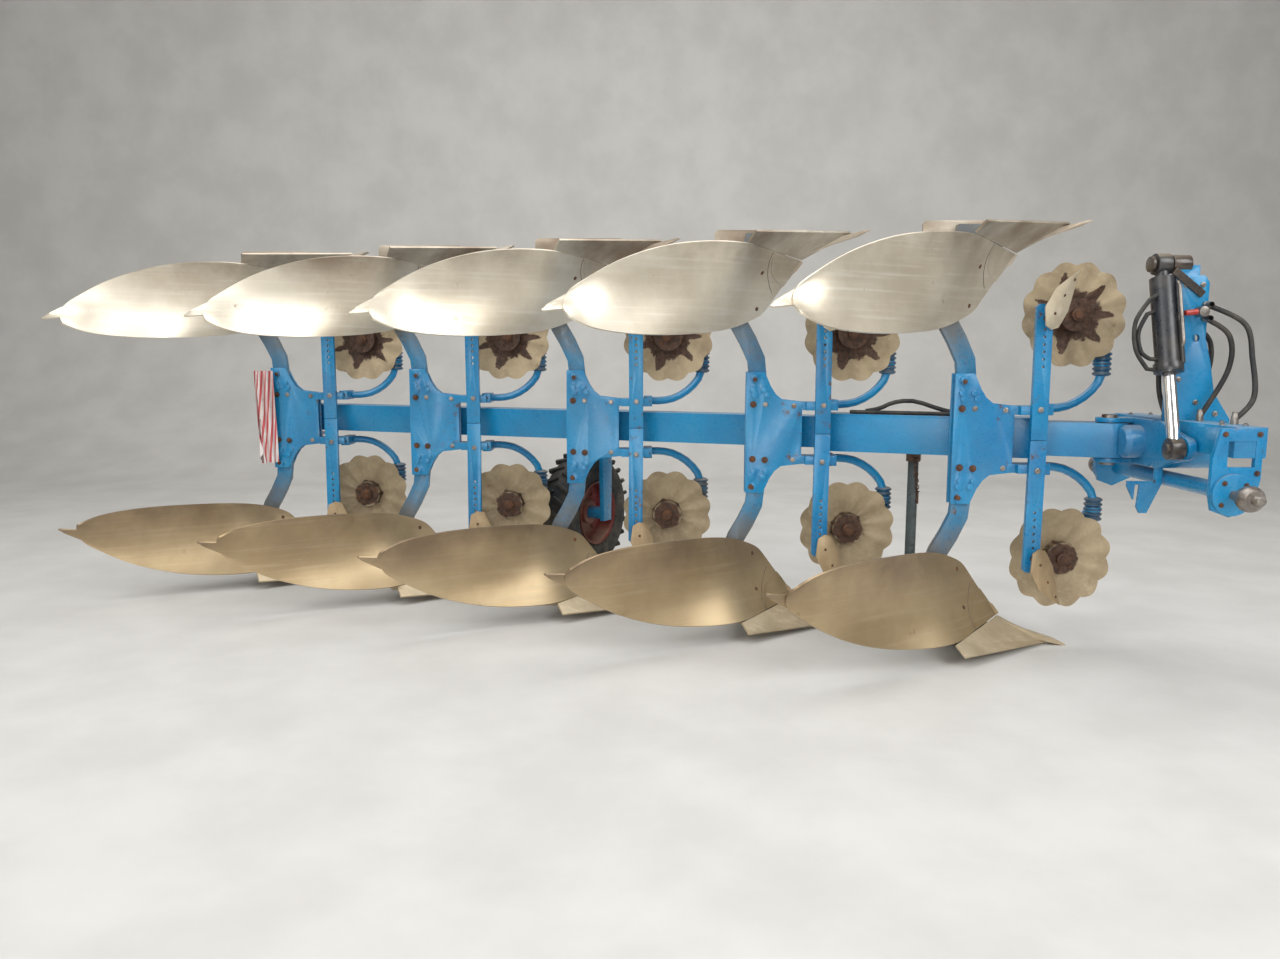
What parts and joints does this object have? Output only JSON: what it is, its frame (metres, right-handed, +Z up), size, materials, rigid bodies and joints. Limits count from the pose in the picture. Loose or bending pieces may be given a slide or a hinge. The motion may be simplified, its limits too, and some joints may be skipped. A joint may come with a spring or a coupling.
{
  "type": "moldboard plough",
  "caption": "Mounted turnover moldboard plough with paired bodies on a slanted beam, disc coulters, headstock with turnover cylinder, side depth wheel and parking stand.",
  "frame": {"origin": "centre of the free top link bore between the mast plates of the headstock", "axes": "+X is the direction of travel, +Y is to the left across the line of travel and along the link bore, +Z is up with the plough parked"},
  "size_m": [5.8349, 2.9401, 2.02],
  "materials": {
    "frame_paint": "semi-gloss, chipped and rusty at the edges",
    "dark_paint": "satin",
    "rim_paint": "worn satin",
    "stand_paint": "satin",
    "clamp_paint": "rusty",
    "board_steel": "polished by soil, with a thin film of rust",
    "disc_steel": "dull, dusty, rusty round the hub",
    "bare_steel": "greasy bare steel",
    "chrome_rod": "polished",
    "hose": "matt",
    "tyre": "dusty",
    "cloth": "striped woven plastic"
  },
  "bodies": {
    "headstock": {"headstock": "frame_paint", "linkage_pins": "bare_steel", "top_link_pin": "bare_steel", "mast_hoses": "hose"},
    "turn_head": {"turn_axle": "frame_paint", "swing_pin": "bare_steel"},
    "barrel": {"turn_barrel": "dark_paint"},
    "rod": {"turn_rod": "chrome_rod"},
    "beam": {"beam": "frame_paint", "beam_pipes": "hose", "bracket_pins": "bare_steel", "stand_holder": "clamp_paint", "wheel_bracket": "frame_paint"},
    "stand": {"stand_leg": "stand_paint"},
    "wheel_arm": {"wheel_arm": "frame_paint"},
    "wheel": {"wheel_tyre": "tyre", "wheel_rim": "rim_paint"},
    "body_1": {"bracket_1": "frame_paint", "legs_1": "frame_paint", "mouldboards_1": "board_steel", "shares_1": "board_steel"},
    "disc_lower_1": {"disc_lower_1": "disc_steel"},
    "disc_upper_1": {"disc_upper_1": "disc_steel"},
    "body_2": {"bracket_2": "frame_paint", "legs_2": "frame_paint", "mouldboards_2": "board_steel", "shares_2": "board_steel"},
    "disc_lower_2": {"disc_lower_2": "disc_steel"},
    "disc_upper_2": {"disc_upper_2": "disc_steel"},
    "body_3": {"bracket_3": "frame_paint", "legs_3": "frame_paint", "mouldboards_3": "board_steel", "shares_3": "board_steel"},
    "disc_lower_3": {"disc_lower_3": "disc_steel"},
    "disc_upper_3": {"disc_upper_3": "disc_steel"},
    "body_4": {"bracket_4": "frame_paint", "legs_4": "frame_paint", "mouldboards_4": "board_steel", "shares_4": "board_steel"},
    "disc_lower_4": {"disc_lower_4": "disc_steel"},
    "disc_upper_4": {"disc_upper_4": "disc_steel"},
    "body_5": {"bracket_5": "frame_paint", "legs_5": "frame_paint", "mouldboards_5": "board_steel", "shares_5": "board_steel", "warning_cloth": "cloth"},
    "disc_lower_5": {"disc_lower_5": "disc_steel"},
    "disc_upper_5": {"disc_upper_5": "disc_steel"}
  },
  "joints": [
    {"name": "turnover", "type": "hinge", "parent": "headstock", "child": "turn_head", "pos_m": [-0.087, 0, -0.468], "axis": [-1, 0, 0], "range_deg": [0, 180]},
    {"name": "cylinder_swing", "type": "hinge", "parent": "headstock", "child": "barrel", "pos_m": [-0.147, 0, 0.317], "axis": [1, 0, 0], "range_deg": [0, 29.27]},
    {"name": "cylinder_rod", "type": "slide", "parent": "barrel", "child": "rod", "axis": [0, -0.2527, -0.9676], "range_m": [-0.2313, 0]},
    {"name": "beam_swing", "type": "hinge", "parent": "turn_head", "child": "beam", "pos_m": [-0.199, 0.25688, -0.468], "axis": [0, 0, 1], "range_deg": [-9.4, 3]},
    {"name": "stand_slide", "type": "slide", "parent": "beam", "child": "stand", "axis": [0, 0, 1], "range_m": [0, 0.6]},
    {"name": "wheel_arm_turn", "type": "hinge", "parent": "beam", "child": "wheel_arm", "pos_m": [-2.62811, 1.8175, -0.468], "axis": [0.866, -0.5, 0], "range_deg": [0, 180]},
    {"name": "wheel_spin", "type": "hinge", "parent": "wheel_arm", "child": "wheel", "pos_m": [-2.771, 1.9, -1.088], "axis": [0.866, -0.5, 0], "continuous": true},
    {"name": "body_swing_1", "type": "hinge", "parent": "beam", "child": "body_1", "pos_m": [-0.747, 0.46286, -0.468], "axis": [0, 0, 1], "range_deg": [-3, 9.4]},
    {"name": "disc_lower_spin_1", "type": "hinge", "parent": "body_1", "child": "disc_lower_1", "pos_m": [-0.369, 0.318, -1.05], "axis": [0, 1, 0], "continuous": true},
    {"name": "disc_upper_spin_1", "type": "hinge", "parent": "body_1", "child": "disc_upper_1", "pos_m": [-0.369, 0.318, 0.114], "axis": [0, 1, 0], "continuous": true},
    {"name": "body_swing_2", "type": "hinge", "parent": "beam", "child": "body_2", "pos_m": [-1.68306, 0.8147, -0.468], "axis": [0, 0, 1], "range_deg": [-3, 9.4]},
    {"name": "disc_lower_spin_2", "type": "hinge", "parent": "body_2", "child": "disc_lower_2", "pos_m": [-1.33006, 0.66984, -0.971], "axis": [0, 1, 0], "continuous": true},
    {"name": "disc_upper_spin_2", "type": "hinge", "parent": "body_2", "child": "disc_upper_2", "pos_m": [-1.33006, 0.66984, 0.035], "axis": [0, 1, 0], "continuous": true},
    {"name": "body_swing_3", "type": "hinge", "parent": "beam", "child": "body_3", "pos_m": [-2.61912, 1.16654, -0.468], "axis": [0, 0, 1], "range_deg": [-3, 9.4]},
    {"name": "disc_lower_spin_3", "type": "hinge", "parent": "body_3", "child": "disc_lower_3", "pos_m": [-2.25712, 1.02168, -0.96], "axis": [0, 1, 0], "continuous": true},
    {"name": "disc_upper_spin_3", "type": "hinge", "parent": "body_3", "child": "disc_upper_3", "pos_m": [-2.25712, 1.02168, 0.024], "axis": [0, 1, 0], "continuous": true},
    {"name": "body_swing_4", "type": "hinge", "parent": "beam", "child": "body_4", "pos_m": [-3.55518, 1.51839, -0.468], "axis": [0, 0, 1], "range_deg": [-3, 9.4]},
    {"name": "disc_lower_spin_4", "type": "hinge", "parent": "body_4", "child": "disc_lower_4", "pos_m": [-3.18318, 1.37353, -0.96], "axis": [0, 1, 0], "continuous": true},
    {"name": "disc_upper_spin_4", "type": "hinge", "parent": "body_4", "child": "disc_upper_4", "pos_m": [-3.18318, 1.37353, 0.024], "axis": [0, 1, 0], "continuous": true},
    {"name": "body_swing_5", "type": "hinge", "parent": "beam", "child": "body_5", "pos_m": [-4.49124, 1.87023, -0.468], "axis": [0, 0, 1], "range_deg": [-3, 9.4]},
    {"name": "disc_lower_spin_5", "type": "hinge", "parent": "body_5", "child": "disc_lower_5", "pos_m": [-4.12524, 1.72537, -0.948], "axis": [0, 1, 0], "continuous": true},
    {"name": "disc_upper_spin_5", "type": "hinge", "parent": "body_5", "child": "disc_upper_5", "pos_m": [-4.12524, 1.72537, 0.012], "axis": [0, 1, 0], "continuous": true}
  ],
  "couplings": [
    {"joint": "cylinder_swing", "follows": "turnover", "ratio": 0.16261},
    {"joint": "body_swing_1", "follows": "beam_swing", "ratio": -1},
    {"joint": "body_swing_2", "follows": "beam_swing", "ratio": -1},
    {"joint": "body_swing_3", "follows": "beam_swing", "ratio": -1},
    {"joint": "body_swing_4", "follows": "beam_swing", "ratio": -1},
    {"joint": "body_swing_5", "follows": "beam_swing", "ratio": -1}
  ]
}
